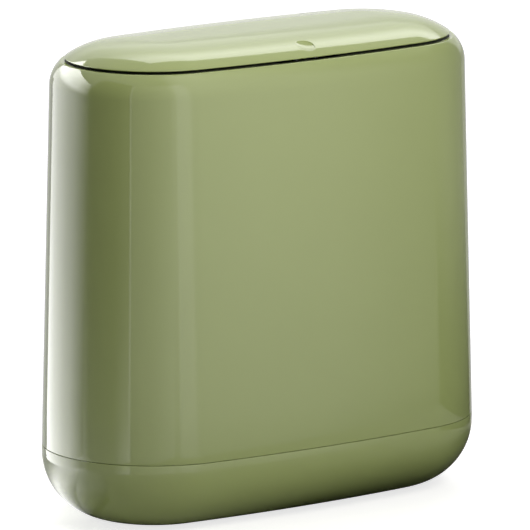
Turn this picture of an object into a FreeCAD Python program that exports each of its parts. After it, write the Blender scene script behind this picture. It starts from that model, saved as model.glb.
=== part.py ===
"""Slim waste bin with a press-to-open lid.

Millimetres, +Z up, origin on the floor under the middle of the bin. The long side runs along X and
the front, where the lid is pressed, faces -Y. Every ring of the bin (body, bowl, collar, bag ring,
lid, seal) is one section carried round the same four-arc oval, so a section is drawn by how far
each of its points lies in from the outline (its inset) and how high it is.
"""
import FreeCAD, Part
import math
import os
import re

import Sketcher

SIZES = {
    # outline of the bin seen from above
    "length": 310,
    "depth": 152,
    "side_radius": 935,
    # body: wall, shoulder, rim and the ledge inside the rim
    "wall": 2.4,
    "seam_height": 48,
    "seam_bevel": 0.4,
    "wall_height": 232,
    "draft_inset": 5.8,
    "shoulder_radius": 22,
    "rim_rise": 15.6,
    "rim_land": 3.1,
    "ledge_drop": 3.2,
    "ledge_width": 5,
    "ledge_thick": 2.6,
    # base: bowl, half-lap joint and feet
    "bowl_radius": 42.4,
    "foot_lift": 1,
    "lap_wall": 1.2,
    "lap_height": 9,
    "lap_gap": 0.1,
    "foot_radius": 6,
    "foot_recess": 1,
    "foot_margin": 2,
    # clearances: pieces dropped into one another, pieces that slide, screws in their holes, turning pins
    "fit": 0.3,
    "slide_play": 0.2,
    "slip": 0.1,
    "pin_play": 0.06,
    # collar and bag ring
    "flange_thick": 2.6,
    "collar_wall": 2,
    "collar_depth": 22,
    "ring_shelf": 3,
    "ring_rebate": 1.4,
    "bag_room": 0.8,
    "ring_wall": 1.7,
    "ring_depth": 20,
    "ring_opening": 48,
    "ring_notch": 1,
    "head_margin": 0.2,
    # lid
    "lid_gap": 1.6,
    "brow_radius": 55.6,
    "crown_angle": 8.25,
    "crown_flat": 6.9,
    "dimple_inset": 26,
    "dimple_radius": 6.1,
    "dimple_depth": 1.3,
    "dimple_edge": 0.5,
    "liner_inset": 23.2,
    "liner_thick": 2,
    "liner_raise": 0.2,
    "lid_boss_radius": 3.6,
    "lid_screw_inset": 48,
    "lid_screw_back": 21,
    "lid_screw_grip": 4.5,
    "seal_inset": 29.2,
    "seal_width": 2.4,
    "seal_tip": 1.7,
    "seal_height": 3.2,
    # hinge
    "hinge_inset": 15,
    "hinge_drop": 3.8,
    "knuckle_radius": 2.5,
    "pin_radius": 1.2,
    "lug_x": 29.5,
    "lug_width": 6,
    "ear_width": 2.5,
    "lug_root": 12,
    "lug_neck": 8.6,
    "ear_reach": 8.4,
    "swing_room": 1.3,
    "coil_room": 10.6,
    "coil_radius": 1.95,
    "coil_wire": 0.55,
    "coil_turns": 8,
    "collar_leg": 7.5,
    "lid_leg": 6.4,
    # lid damper
    "damper_radius": 3.2,
    "damper_length": 24,
    "damper_floor": 4,
    "damper_lug_width": 5,
    "damper_key": 1.7,
    # touch latch
    "latch_width": 24,
    "latch_depth": 11,
    "latch_height": 37.5,
    "latch_drop": 3.6,
    "latch_wall": 1.2,
    "latch_floor": 1.5,
    "latch_tab": 7,
    "tab_thick": 1.6,
    "tab_height": 8,
    "tab_drop": 8,
    "plunger_width": 18.4,
    "plunger_depth": 6.6,
    "plunger_lift": 8,
    "plunger_height": 14,
    "plunger_floor": 4,
    "mouth_wall": 0.8,
    "claw_wall": 1.3,
    "claw_room": 1,
    "claw_gap": 0.4,
    "hook_height": 2,
    "hook_lip": 1.4,
    "striker_width": 7.2,
    "striker_stem": 4,
    "striker_depth": 3,
    "striker_neck": 10.4,
    "striker_point": 6,
    "striker_nose": 2,
    "barb_height": 2,
    "striker_plate": 2,
    "striker_plate_width": 20,
    "striker_plate_depth": 5.6,
    "striker_screw_x": 7.5,
    "track_rise": 3,
    "track_width": 6.8,
    "track_height": 8,
    "track_depth": 0.6,
    "heart_tip": 2,
    "heart_half": 2,
    "heart_side": 4.4,
    "heart_notch": 5,
    "lobe_x": 1.2,
    "lobe_top": 6,
    "latch_coil_radius": 1.9,
    "latch_coil_wire": 0.5,
    "latch_coil_turns": 7,
    "spring_seat": 2.6,
    "cam_wire": 0.8,
    "wire_room": 0.25,
    "wire_drop": 4,
    # screws
    "screw_radius": 1.1,
    "screw_head": 1.9,
    "screw_length": 9,
    "small_screw": 1,
    "small_head": 1.8,
    "head_thick": 1.4,
    "boss_radius": 2.5,
    "boss_depth": 9,
}

# Heights, insets and arc centres that follow from the sizes above, each after those it builds on.
FORM = {
    "half": "length/2",
    "end_radius": "(length^2/4 + depth^2/4 - side_radius*depth)/(length - 2*side_radius)",
    "reach": "half - end_radius",
    "foot_y": "end_radius - bowl_radius - foot_margin - foot_radius",
    "shoulder_start": "seam_height + wall_height",
    "slope": "draft_inset/wall_height",
    "lean": "sqrt(1 + slope^2)",
    "inner_shoulder": "shoulder_radius - wall",
    "shoulder_in": "draft_inset + shoulder_radius/lean",
    "shoulder_z": "shoulder_start - shoulder_radius*slope/lean",
    "rim_height": "shoulder_start + rim_rise",
    "rim_inset": "shoulder_in - sqrt(shoulder_radius^2 - (rim_height - shoulder_z)^2)",
    "rim_face": "rim_inset + rim_land",
    "ledge_z": "rim_height - ledge_drop",
    "ledge_end": "rim_face + ledge_width",
    "ledge_under": "ledge_z - ledge_thick",
    "under_inset": "shoulder_in - sqrt(inner_shoulder^2 - (ledge_under - shoulder_z)^2)",
    "lid_edge": "rim_height + lid_gap",
    "edge_sine": "(lid_edge - shoulder_z)/shoulder_radius",
    "edge_cosine": "sqrt(1 - edge_sine^2)",
    "edge_inset": "shoulder_in - shoulder_radius*edge_cosine",
    "brow_in": "shoulder_in + (brow_radius - shoulder_radius)*edge_cosine",
    "brow_z": "shoulder_z - (brow_radius - shoulder_radius)*edge_sine",
    "inner_brow": "brow_radius - wall",
    "inner_edge": "brow_in - sqrt(inner_brow^2 - (lid_edge - brow_z)^2)",
    "turn_in": "brow_in - brow_radius*sin(crown_angle)",
    "turn_z": "brow_z + brow_radius*cos(crown_angle)",
    "crown_in": "end_radius - crown_flat",
    "crown_radius": "(crown_in - turn_in)/sin(crown_angle)",
    "crown_z": "turn_z - crown_radius*cos(crown_angle)",
    "inner_crown": "crown_radius - wall",
    "height": "crown_z + crown_radius",
    "dimple_z": "brow_z + sqrt(brow_radius^2 - (brow_in - dimple_inset)^2)",
    "dimple_tilt": "asin((brow_in - dimple_inset)/brow_radius)",
    "dimple_bowl": "(dimple_radius^2 + (dimple_depth - dimple_edge)^2)/(2*(dimple_depth - dimple_edge))",
    "lid_screw_x": "reach - lid_screw_back",
    "lid_boss_top": "crown_z + sqrt((crown_radius - wall/2)^2 - (crown_in - lid_screw_inset)^2)",
    "flange_top": "ledge_z + flange_thick",
    "collar_out": "ledge_end + fit",
    "collar_in": "collar_out + collar_wall",
    "shelf_z": "flange_top - ring_rebate",
    "ring_out": "collar_in + bag_room",
    "ring_in": "ring_out + ring_wall",
    "liner_z": "lid_edge + liner_raise",
    "screw_inset": "rim_face + fit + screw_head + head_margin",
    "hinge_y": "depth/2 - hinge_inset",
    "hinge_z": "rim_height - hinge_drop",
    "knuckle_side": "0.4*knuckle_radius",
    "knuckle_face": "sqrt(knuckle_radius^2 - knuckle_side^2)",
    "recess_y": "hinge_y + knuckle_radius + swing_room",
    "recess_z": "hinge_z - damper_radius - fit",
    "inner_ear": "lug_x - lug_width/2 - fit - ear_width",
    "coil_start": "lug_x + lug_width/2 + fit",
    "outer_ear": "lug_x + lug_width/2 + coil_room",
    "hinge_end": "outer_ear + ear_width + fit",
    "damper_lug": "damper_length/2 + 2*fit + ear_width",
    "latch_y": "depth/2 - dimple_inset",
    "latch_top": "rim_height - latch_drop",
    "latch_bottom": "latch_top - latch_height",
    "latch_front": "latch_y + plunger_depth/2 + slide_play + latch_wall",
    "latch_back": "latch_front - latch_depth",
    "tab_y": "sqrt((side_radius - collar_in)^2 - (latch_width/2 + latch_tab)^2) - side_radius + depth/2",
    "tab_x": "latch_width/2 + latch_tab/2",
    "tab_z": "latch_top - tab_drop - tab_height/2",
    "tab_face": "slip + tab_thick - tab_y",
    "plate_z": "liner_z - striker_plate",
    "striker_barb": "liner_z - striker_neck",
    "striker_tip": "striker_barb - striker_point",
    "plunger_bottom": "latch_bottom + latch_floor + plunger_lift",
    "plunger_top": "plunger_bottom + plunger_height",
    "mouth_width": "striker_width + 2*claw_wall + 2*claw_room",
    "mouth_depth": "plunger_depth - 2*mouth_wall",
    "mouth_floor": "plunger_bottom + plunger_floor",
    "track_z": "plunger_bottom + track_rise",
    "spring_bore": "latch_coil_radius + latch_coil_wire/2 + wire_room",
    "spring_top": "plunger_bottom + spring_seat",
    "wire_foot": "plunger_bottom - wire_drop",
    "wire_tip": "track_z + heart_notch + cam_wire/2 + fit",
    "wire_y": "plunger_depth/2 + cam_wire/2 + wire_room - latch_y",
}

Vector = FreeCAD.Vector
Rotation = FreeCAD.Rotation
X, Y, Z = Vector(1, 0, 0), Vector(0, 1, 0), Vector(0, 0, 1)
doc = FreeCAD.newDocument("slim_bin")
nodes = []


def bound(text, own=""):
    """Expression text in which each size name points at its cell; names of sheet `own` stay plain."""
    def cell(word):
        name = word.group()
        sheet = "Sizes" if name in SIZES else "Form" if name in FORM else own
        return name if sheet == own else sheet + "." + name
    return re.sub(r"[a-z][a-z_]+(?!\()", cell, str(text))


def fill_sheet(title, cells):
    sheet = doc.addObject("Spreadsheet::Sheet", title)
    for row, (name, value) in enumerate(cells.items(), 1):
        text = str(value) if title == "Sizes" else "=" + bound(value, title)
        sheet.set(f"A{row}", text)
        sheet.setAlias(f"A{row}", name)
    doc.recompute()
    return sheet


sizes = fill_sheet("Sizes", SIZES)
fill_sheet("Form", FORM)


def number(text):
    """Value of an expression of size names."""
    return float(sizes.evalExpression(bound(text)))


def new_body(name):
    body = doc.addObject("PartDesign::Body", name)
    nodes.append(body)
    return body


def new_sketch(body, plane, offset="0"):
    """Sketch on one of the body's own origin planes, moved along that plane's normal by offset."""
    sketch = body.newObject("Sketcher::SketchObject", f"{body.Name}_{plane.lower()}")
    role = plane + "_Plane"
    sketch.AttachmentSupport = [(f, "") for f in body.Origin.OriginFeatures if f.Role == role]
    sketch.MapMode = "FlatFace"
    sketch.setExpression("AttachmentOffset.Base.z", bound(offset))
    return sketch


def pin_point(sketch, geometry, end, x, y):
    """Fixes one point of a sketch at (x, y), each given as an expression."""
    for kind, text, axis in (("DistanceX", x, -2), ("DistanceY", y, -1)):
        value = number(text)
        if abs(value) < 1e-9:
            sketch.addConstraint(Sketcher.Constraint("PointOnObject", geometry, end, axis))
            continue
        row = sketch.addConstraint(Sketcher.Constraint(kind, -1, 1, geometry, end, value))
        sketch.setExpression(f"Constraints[{row}]", bound(text))


def set_radius(sketch, geometry, text):
    row = sketch.addConstraint(Sketcher.Constraint("Radius", geometry, number(text)))
    sketch.setExpression(f"Constraints[{row}]", bound(text))


def outline(sketch, points):
    """Closed line through points (x, y). A third entry makes the side that ends there an arc of that
    radius, turning left where the radius is written plain and right where it starts with a minus."""
    spots = [Vector(number(p[0]), number(p[1]), 0) for p in points]
    sides = []
    for n, point in enumerate(points):
        a, b = spots[n - 1], spots[n]
        if len(point) == 2:
            sides.append((sketch.addGeometry(Part.LineSegment(a, b), False), 1, 2, n))
            continue
        left = not point[2].startswith("-")
        radius = number(point[2].lstrip("-"))
        chord = b - a
        side = Z.cross(chord) if left else chord.cross(Z)
        side.normalize()
        centre = (a + b) / 2 + side * math.sqrt(radius**2 - chord.Length**2 / 4)
        ends = [math.atan2(q.y - centre.y, q.x - centre.x) for q in ((a, b) if left else (b, a))]
        curve = Part.ArcOfCircle(Part.Circle(centre, Z, radius), ends[0], ends[1])
        first, last = (1, 2) if left else (2, 1)
        sides.append((sketch.addGeometry(curve, False), first, last, n))
    for this, after in zip(sides, sides[1:] + sides[:1]):
        sketch.addConstraint(Sketcher.Constraint("Coincident", this[0], this[2], after[0], after[1]))
    for geometry, first, last, n in sides:
        pin_point(sketch, geometry, last, points[n][0], points[n][1])
    for geometry, first, last, n in sides:
        if len(points[n]) == 3:
            set_radius(sketch, geometry, points[n][2].lstrip("-"))


def rectangle(sketch, x0, x1, y0, y1):
    outline(sketch, [(x0, y0), (x1, y0), (x1, y1), (x0, y1)])


def square(sketch, x, y, half_side):
    rectangle(sketch, f"{x} - {half_side}", f"{x} + {half_side}", f"{y} - {half_side}", f"{y} + {half_side}")


def circle(sketch, x, y, radius):
    ring = sketch.addGeometry(Part.Circle(Vector(number(x), number(y), 0), Z, number(radius)), False)
    pin_point(sketch, ring, 3, x, y)
    set_radius(sketch, ring, radius)


def oval(sketch, inset="0"):
    """The bin's outline drawn in by inset: two end arcs and two long side arcs, all tangent."""
    end, side = number(f"end_radius - ({inset})"), number(f"side_radius - ({inset})")
    reach, drop = number("reach"), number("side_radius - depth/2")
    turn = math.atan2(drop, reach)

    def arc(x, y, radius, start, stop):
        whole = Part.Circle(Vector(x, y, 0), Z, radius)
        return sketch.addGeometry(Part.ArcOfCircle(whole, start, stop), False)
    right = arc(reach, 0, end, -turn, turn)
    back = arc(0, -drop, side, turn, math.pi - turn)
    left = arc(-reach, 0, end, math.pi - turn, math.pi + turn)
    front = arc(0, drop, side, math.pi + turn, 2 * math.pi - turn)
    for a, b in ((right, back), (back, left), (left, front), (front, right)):
        sketch.addConstraint(Sketcher.Constraint("Tangent", a, 2, b, 1))
    sketch.addConstraint(Sketcher.Constraint("PointOnObject", left, 3, -1))
    sketch.addConstraint(Sketcher.Constraint("PointOnObject", back, 3, -2))
    sketch.addConstraint(Sketcher.Constraint("Equal", back, front))
    pin_point(sketch, right, 3, "reach", "0")
    set_radius(sketch, right, f"end_radius - ({inset})")
    set_radius(sketch, back, f"side_radius - ({inset})")


def add_ring(body, section):
    """Carries a section once round the outline. Section points are (inset, height[, radius])."""
    path = new_sketch(body, "XY")
    oval(path)
    profile = new_sketch(body, "XZ")
    outline(profile, [(f"half - ({p[0]})",) + tuple(p[1:]) for p in section])
    pipe = body.newObject("PartDesign::AdditivePipe", body.Name + "_ring")
    doc.recompute()
    pipe.Profile = profile
    pipe.Spine = (path, [])
    doc.recompute()


def pad(body, sketch, length, back=False):
    feature = body.newObject("PartDesign::Pad", body.Name + "_pad")
    feature.Profile = sketch
    feature.Reversed = back
    feature.setExpression("Length", bound(length))
    doc.recompute()
    if not feature.isValid():
        states = f"{feature.getStatusString()}, sketch {sketch.getStatusString()}"
        raise ValueError(f"{feature.Name}: {states}")


def pocket(body, sketch, length, back=False):
    """Cut that runs along the sketch's normal, or against it where back is set."""
    before = body.Shape.Volume
    feature = body.newObject("PartDesign::Pocket", body.Name + "_pocket")
    feature.Profile = sketch
    feature.Reversed = not back
    feature.setExpression("Length", bound(length))
    doc.recompute()
    if not body.Shape.Volume < before - 1e-6:
        raise ValueError(f"{feature.Name} cuts nothing: {feature.getStatusString()}")


def add_box(body, x0, x1, y0, y1, z0, z1, cut=False):
    sketch = new_sketch(body, "XY", z0)
    rectangle(sketch, x0, x1, y0, y1)
    (pocket if cut else pad)(body, sketch, f"({z1}) - ({z0})")


def cut_box(body, x0, x1, y0, y1, z0, z1):
    add_box(body, x0, x1, y0, y1, z0, z1, cut=True)


def side_y(inset, x):
    """Distance from the long axis to the outline drawn in by inset, at x along the long side."""
    return f"(sqrt((side_radius - ({inset}))^2 - ({x})^2) - side_radius + depth/2)"


def place(item, x, y, z, axis=Z):
    """Puts a primitive that grows along +Z at (x, y, z), turned to grow along axis."""
    item.Placement = FreeCAD.Placement(Vector(), Rotation(Z, axis))
    for letter, text in zip("xyz", (x, y, z)):
        item.setExpression(f"Placement.Base.{letter}", bound(text))


def rod(radius, length, x, y, z, axis=Z):
    item = doc.addObject("Part::Cylinder", "rod")
    item.setExpression("Radius", bound(radius))
    item.setExpression("Height", bound(length))
    place(item, x, y, z, axis)
    return item


def fuse(items, name="joined"):
    joined = doc.addObject("Part::MultiFuse", name)
    joined.Shapes = items
    return joined


def group(name, items):
    """Several equal pieces as separate solids of one node."""
    node = doc.addObject("Part::Compound", name)
    node.Links = items
    nodes.append(node)


def round_mouth(inset, x):
    """Six places on the outline drawn in by inset: one at each end, four at x along the long sides."""
    ends = [(f"{s}*(half - {inset})", "0") for s in (1, -1)]
    sides = [(f"{s}*{x}", f"{t}*{side_y(inset, x)}") for s in (1, -1) for t in (1, -1)]
    return ends + sides


COLLAR_SCREWS = round_mouth("screw_inset", "reach")
LID_SCREWS = round_mouth("lid_screw_inset", "lid_screw_x")
FEET = [(f"{s}*reach", f"{t}*foot_y") for s in (1, -1) for t in (1, -1)]
STRIKER_SCREWS = [(f"{s}*striker_screw_x", "-latch_y") for s in (1, -1)]


def make_body_shell():
    """Sleeve with leaning walls, shoulder and rim; the ledge inside the rim carries the collar."""
    body = new_body("body_shell")
    add_ring(body, [
        ("0", "seam_height + seam_bevel"),
        ("draft_inset", "shoulder_start"),
        ("rim_inset", "rim_height", "shoulder_radius"),
        ("rim_face", "rim_height"),
        ("rim_face", "ledge_z"),
        ("ledge_end", "ledge_z"),
        ("ledge_end", "ledge_under"),
        ("under_inset", "ledge_under"),
        ("shoulder_in - inner_shoulder/lean", "shoulder_z + inner_shoulder*slope/lean", "-inner_shoulder"),
        ("wall + slope*(lap_height + fit)", "seam_height + lap_height + fit"),
        ("lap_wall", "seam_height + lap_height + fit"),
        ("lap_wall", "seam_height"),
        ("seam_bevel", "seam_height"),
    ])
    bosses = new_sketch(body, "XY", "ledge_under")
    for x, y in COLLAR_SCREWS:
        circle(bosses, x, y, "boss_radius")
    pad(body, bosses, "boss_depth", back=True)
    holes = new_sketch(body, "XY", "ledge_z")
    for x, y in COLLAR_SCREWS:
        circle(holes, x, y, "screw_radius + pin_play")
    pocket(body, holes, "screw_length", back=True)
    cut_box(body, "-hinge_end", "hinge_end", "hinge_y - lug_root", "recess_y", "recess_z", "height")


def make_base_bowl():
    """Bowl with rolled-under edge; its thin upper lip slides up inside the sleeve and is welded there."""
    body = new_body("base_bowl")
    add_ring(body, [
        ("bowl_radius", "foot_lift"),
        ("0", "foot_lift + bowl_radius", "bowl_radius"),
        ("0", "seam_height - seam_bevel"),
        ("seam_bevel", "seam_height"),
        ("lap_wall + lap_gap", "seam_height"),
        ("lap_wall + lap_gap", "seam_height + lap_height"),
        ("wall", "seam_height + lap_height"),
        ("wall", "foot_lift + bowl_radius"),
        ("bowl_radius", "foot_lift + wall", "-(bowl_radius - wall)"),
    ])
    floor = new_sketch(body, "XY", "foot_lift")
    oval(floor, "bowl_radius")
    pad(body, floor, "wall")
    recesses = new_sketch(body, "XY", "foot_lift")
    for x, y in FEET:
        circle(recesses, x, y, "foot_radius + slip")
    pocket(body, recesses, "foot_recess")


def make_feet():
    """Soft round pads glued into shallow recesses under the bowl."""
    group("feet", [rod("foot_radius", "foot_lift + foot_recess", x, y, "0") for x, y in FEET])


def ear(body, start, width, radius="knuckle_radius"):
    """Plate across the hinge line with a round end about the hinge axis, standing off the collar."""
    sketch = new_sketch(body, "YZ", start)
    outline(sketch, [
        ("hinge_y - ear_reach", f"hinge_z - {radius}"),
        ("hinge_y", f"hinge_z - {radius}"),
        (f"hinge_y + {radius}", "hinge_z", radius),
        ("hinge_y", f"hinge_z + {radius}", radius),
        ("hinge_y - ear_reach", f"hinge_z + {radius}"),
    ])
    pad(body, sketch, width)


def bore(body, start, width, radius):
    sketch = new_sketch(body, "YZ", start)
    circle(sketch, "hinge_y", "hinge_z", radius)
    pocket(body, sketch, width)


def make_collar():
    """Frame in the mouth: flange on the ledge, wall below it, hinge ears behind, latch window in front."""
    body = new_body("collar")
    add_ring(body, [
        ("rim_face + fit", "ledge_z"),
        ("rim_face + fit", "flange_top"),
        ("collar_in - ring_shelf", "flange_top"),
        ("collar_in - ring_shelf", "shelf_z"),
        ("collar_in", "shelf_z"),
        ("collar_in", "flange_top - collar_depth"),
        ("collar_out", "flange_top - collar_depth"),
        ("collar_out", "ledge_z"),
    ])
    gap_floor = "hinge_z - coil_radius - coil_wire/2 - slip"
    for low, high in (("inner_ear + ear_width", "outer_ear"), ("-outer_ear", "-inner_ear - ear_width"),
                      ("damper_lug - fit", "damper_lug + damper_lug_width + fit")):
        cut_box(body, low, high, "depth/2 - ring_in", "recess_y", gap_floor, "height")
    cut_box(body, "-damper_length/2 - fit", "damper_length/2 + fit", "hinge_y - damper_radius - fit",
            "recess_y", "recess_z", "height")
    for start in ("inner_ear", "outer_ear", "-inner_ear - ear_width", "-outer_ear - ear_width",
                  "damper_length/2 + fit", "-damper_length/2 - fit - ear_width"):
        ear(body, start, "ear_width")
    bore(body, "-hinge_end", "2*hinge_end", "pin_radius + pin_play")
    cut_box(body, "-latch_width/2 - fit", "latch_width/2 + fit", "-latch_front - fit", "-latch_back",
            "latch_bottom - fit", "height")
    screw_holes = new_sketch(body, "XY", "ledge_z")
    for x, y in COLLAR_SCREWS:
        circle(screw_holes, x, y, "screw_radius + slip")
    pocket(body, screw_holes, "flange_thick")
    heads = new_sketch(body, "XY", "flange_top - head_thick")
    for x, y in COLLAR_SCREWS:
        circle(heads, x, y, "screw_head + slip")
    pocket(body, heads, "head_thick")
    latch_holes = new_sketch(body, "XZ", "latch_y")
    for s in ("", "-"):
        circle(latch_holes, s + "tab_x", "tab_z", "small_screw + pin_play")
    pocket(body, latch_holes, "latch_depth")


def make_collar_screws():
    """Flat-headed self-tapping screws, heads level with the flange."""
    screws = []
    for x, y in COLLAR_SCREWS:
        shank = rod("screw_radius", "screw_length", x, y, "flange_top - screw_length")
        head = rod("screw_head", "head_thick", x, y, "flange_top - head_thick")
        screws.append(fuse([shank, head], "collar_screw"))
    group("collar_screws", screws)


def make_bag_ring():
    """Open springy ring: its lip hangs in the collar's rebate and its skirt holds the bag to the wall."""
    body = new_body("bag_ring")
    add_ring(body, [
        ("collar_in - ring_shelf + fit", "shelf_z"),
        ("collar_in - ring_shelf + fit", "flange_top"),
        ("ring_in", "flange_top"),
        ("ring_in", "flange_top - ring_depth"),
        ("ring_out", "flange_top - ring_depth"),
        ("ring_out", "shelf_z"),
    ])
    cut_box(body, "-ring_opening/2", "ring_opening/2", "-depth/2", "-depth/4", "0", "height")
    notch = "(hinge_end + ring_notch)"
    cut_box(body, f"-{notch}", notch, "depth/4", "depth/2", "recess_z", "height")


def make_lid_cover():
    """Domed lid: brow and crown arcs run on from the line of the body's shoulder to a narrow flat top."""
    body = new_body("lid_cover")
    add_ring(body, [
        ("edge_inset", "lid_edge"),
        ("turn_in", "turn_z", "brow_radius"),
        ("crown_in", "height", "crown_radius"),
        ("crown_in", "height - wall"),
        ("turn_in + wall*sin(crown_angle)", "turn_z - wall*cos(crown_angle)", "-inner_crown"),
        ("inner_edge", "lid_edge", "-inner_brow"),
    ])
    top = new_sketch(body, "XY", "height - wall")
    oval(top, "crown_in")
    pad(body, top, "wall")
    bosses = new_sketch(body, "XY", "liner_z + liner_thick")
    for x, y in LID_SCREWS:
        circle(bosses, x, y, "lid_boss_radius")
    pad(body, bosses, "lid_boss_top - liner_z - liner_thick")
    holes = new_sketch(body, "XY", "liner_z + liner_thick")
    for x, y in LID_SCREWS:
        circle(holes, x, y, "small_screw + pin_play")
    pocket(body, holes, "lid_screw_grip + fit")
    dish = new_sketch(body, "YZ")
    dish.setExpression("AttachmentOffset.Base.x", bound("-latch_y"))
    dish.setExpression("AttachmentOffset.Base.y", bound("dimple_z"))
    dish.setExpression("AttachmentOffset.Rotation.Angle", bound("dimple_tilt"))
    outline(dish, [
        ("0", "-dimple_depth"),
        ("dimple_radius", "-dimple_edge", "dimple_bowl"),
        ("dimple_radius", "wall"),
        ("0", "wall"),
    ])
    dimple = body.newObject("PartDesign::Groove", "dimple")
    dimple.Profile = dish
    dimple.ReferenceAxis = (dish, ["V_Axis"])
    dimple.Angle = 360
    doc.recompute()


def lug(body, start, width):
    """Arm from the back of the liner down to a round eye on the hinge axis."""
    sketch = new_sketch(body, "YZ", start)
    outline(sketch, [
        ("hinge_y - lug_root", "liner_z + liner_thick/2"),
        ("hinge_y - lug_root", "liner_z"),
        ("hinge_y - knuckle_side", "hinge_z - knuckle_face"),
        ("hinge_y + knuckle_face", "hinge_z - knuckle_side", "knuckle_radius"),
        ("hinge_y + knuckle_side", "hinge_z + knuckle_face", "knuckle_radius"),
        ("hinge_y - lug_neck", "liner_z - liner_raise"),
        ("hinge_y - lug_neck", "liner_z + liner_thick/2"),
    ])
    pad(body, sketch, width)


def make_lid_liner():
    """Flat panel that closes the lid from below, with the hinge lugs moulded on behind."""
    body = new_body("lid_liner")
    plate = new_sketch(body, "XY", "liner_z")
    oval(plate, "liner_inset")
    pad(body, plate, "liner_thick")
    for start in ("lug_x - lug_width/2", "-lug_x - lug_width/2"):
        lug(body, start, "lug_width")
    lug(body, "damper_lug", "damper_lug_width")
    for start in ("lug_x - lug_width/2 - fit", "-lug_x - lug_width/2 - fit"):
        bore(body, start, "lug_width + 2*fit", "pin_radius + pin_play")
    key = new_sketch(body, "YZ", "damper_lug - fit")
    square(key, "hinge_y", "hinge_z", "(damper_key/2 + pin_play/2)")
    pocket(body, key, "damper_lug_width + 2*fit")
    holes = new_sketch(body, "XY", "liner_z")
    for x, y in LID_SCREWS + STRIKER_SCREWS:
        circle(holes, x, y, "small_screw + pin_play")
    pocket(body, holes, "liner_thick")


def make_lid_screws():
    """Round-headed screws up through the liner into the bosses of the cover."""
    screws = []
    for x, y in LID_SCREWS:
        shank = rod("small_screw", "liner_thick + lid_screw_grip", x, y, "liner_z")
        head = rod("small_head", "head_thick", x, y, "liner_z - head_thick")
        screws.append(fuse([shank, head], "lid_screw"))
    group("lid_screws", screws)


def make_lid_seal():
    """Soft lip stuck round the liner; it hangs inside the mouth and keeps smells in."""
    body = new_body("lid_seal")
    add_ring(body, [
        ("seal_inset", "liner_z - seal_height"),
        ("seal_inset", "liner_z"),
        ("seal_inset + seal_width", "liner_z"),
        ("seal_inset + seal_tip", "liner_z - seal_height"),
    ])


def make_striker():
    """Arrow-headed tongue on a small plate: the claws of the latch close above its barbs."""
    body = new_body("striker")
    right = [
        ("striker_nose/2", "striker_tip"),
        ("striker_width/2", "striker_barb - barb_height"),
        ("striker_width/2", "striker_barb"),
        ("striker_stem/2", "striker_barb"),
        ("striker_stem/2", "liner_z"),
    ]
    sketch = new_sketch(body, "XZ", "latch_y - striker_depth/2")
    outline(sketch, right + [("-" + x, z) for x, z in reversed(right)])
    pad(body, sketch, "striker_depth")
    add_box(body, "-striker_plate_width/2", "striker_plate_width/2", "-latch_y - striker_plate_depth/2",
            "-latch_y + striker_plate_depth/2", "plate_z", "liner_z")
    holes = new_sketch(body, "XY", "plate_z")
    for x, y in STRIKER_SCREWS:
        circle(holes, x, y, "small_screw + pin_play")
    pocket(body, holes, "striker_plate")


def make_striker_screws():
    """Short screws up through the striker's plate into the liner."""
    screws = []
    for x, y in STRIKER_SCREWS:
        shank = rod("small_screw", "liner_thick + striker_plate", x, y, "plate_z")
        head = rod("small_head", "head_thick/2", x, y, "plate_z - head_thick/2")
        screws.append(fuse([shank, head], "striker_screw"))
    group("striker_screws", screws)


def make_hinge_pins():
    """Two steel pins, one through each pair of ears."""
    length = "outer_ear + ear_width - inner_ear"
    group("hinge_pins", [rod("pin_radius", length, x, "hinge_y", "hinge_z", X)
                         for x in ("inner_ear", "-outer_ear - ear_width")])


def biarc(p, u, q, v):
    """Two arcs from p (heading u) to q (heading v) that share a heading where they meet."""
    chord, both = q - p, u + v
    spread = 2 * (1 - u.dot(v))
    lean = chord.dot(both)
    step = (math.sqrt(lean**2 + spread * chord.dot(chord)) - lean) / spread
    middle = (p + u * step + q - v * step) / 2
    turn = (q - v * step - p - u * step).normalize()
    return [half_arc(p, u, middle), half_arc(middle, turn, q)]


def half_arc(p, u, q):
    """Arc from p, heading u, to q."""
    chord = q - p
    along = Vector(chord).normalize()
    rise = u - along * u.dot(along)
    height = chord.Length / 2 * math.tan(u.getAngle(chord) / 2)
    return Part.Arc(p, (p + q) / 2 + rise.normalize() * height, q).toShape()


def wind(spots, ways, wire, first_leg, last_leg):
    """Round wire of one unbroken tube: a straight leg, biarcs through the spots, and a straight leg."""
    start, stop = spots[0] - ways[0] * first_leg, spots[-1] + ways[-1] * last_leg
    edges = [Part.makeLine(start, spots[0])]
    for n in range(len(spots) - 1):
        edges += biarc(spots[n], ways[n], spots[n + 1], ways[n + 1])
    edges.append(Part.makeLine(spots[-1], stop))
    tube = Part.BRepOffsetAPI.MakePipeShell(Part.Wire(edges))
    tube.add(Part.Wire(Part.Circle(start, ways[0], wire / 2).toShape()))
    tube.build()
    tube.makeSolid()
    return tube.shape()


def coil(radius, pitch, first, last):
    """Points and headings every quarter turn of a coil that climbs along +Z from angle first to last."""
    quarter = math.pi / 2
    angles = [first + n * quarter for n in range(math.ceil((last - first) / quarter - 1e-6))] + [last]
    climb = pitch / (2 * math.pi)
    spots = [Vector(radius * math.cos(a), radius * math.sin(a), climb * (a - first)) for a in angles]
    ways = [Vector(-radius * math.sin(a), radius * math.cos(a), climb).normalize() for a in angles]
    return spots, ways


def print_gap(name, spots, wire):
    """Least free space between neighbouring turns, measured between points one turn apart."""
    gap = min((b - a).Length for a, b in zip(spots, spots[4:-1])) - wire
    print(name, "least gap between turns", round(gap, 2))


def solid_node(name, shape):
    node = doc.addObject("Part::Feature", name)
    node.Shape = shape
    nodes.append(node)
    return node


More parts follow.
